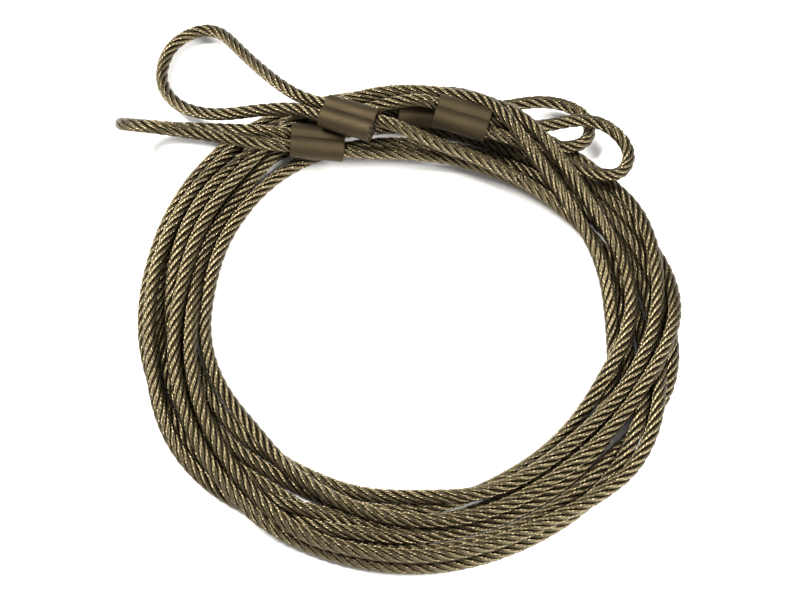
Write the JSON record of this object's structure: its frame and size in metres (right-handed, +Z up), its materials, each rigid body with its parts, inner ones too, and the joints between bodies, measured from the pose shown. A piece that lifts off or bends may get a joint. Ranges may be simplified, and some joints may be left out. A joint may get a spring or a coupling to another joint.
{
  "type": "wire rope sling",
  "caption": "Soft-eye wire rope slings with pressed ferrules, coiled together in a loose hank, with their eyes lying out at the side.",
  "frame": {"origin": "on the surface the hank lies on, under the middle of the whole", "axes": "+Z up, +X to the side where the trapped eyes point, +Y away from the viewer, to the side where the eyes and ferrules lie"},
  "size_m": [0.1312, 0.1406, 0.0214],
  "materials": {
    "wire_rope": "stranded steel wire with a warm brown-grey tone",
    "ferrule": "matte, dark, with faint lengthwise press marks"
  },
  "bodies": {
    "hank": {"sling_1_coil": "wire_rope", "sling_1_left_eye": "wire_rope", "sling_1_left_ferrule": "ferrule", "sling_1_left_lead": "wire_rope", "sling_1_right_eye": "wire_rope", "sling_1_right_ferrule": "ferrule", "sling_1_right_lead": "wire_rope", "sling_2_coil": "wire_rope", "sling_2_left_root": "wire_rope", "sling_2_right_eye": "wire_rope", "sling_2_right_ferrule": "ferrule", "sling_2_right_lead": "wire_rope"},
    "lifted_end": {"sling_2_left_eye": "wire_rope", "sling_2_left_ferrule": "ferrule", "sling_2_left_lead": "wire_rope"}
  },
  "joints": [
    {"name": "sling_2_left_lift", "type": "hinge", "parent": "hank", "child": "lifted_end", "pos_m": [0.0116, 0.02895, 0.0114], "axis": [0.2501, 0.9682, 0], "range_deg": [0, 30]}
  ]
}
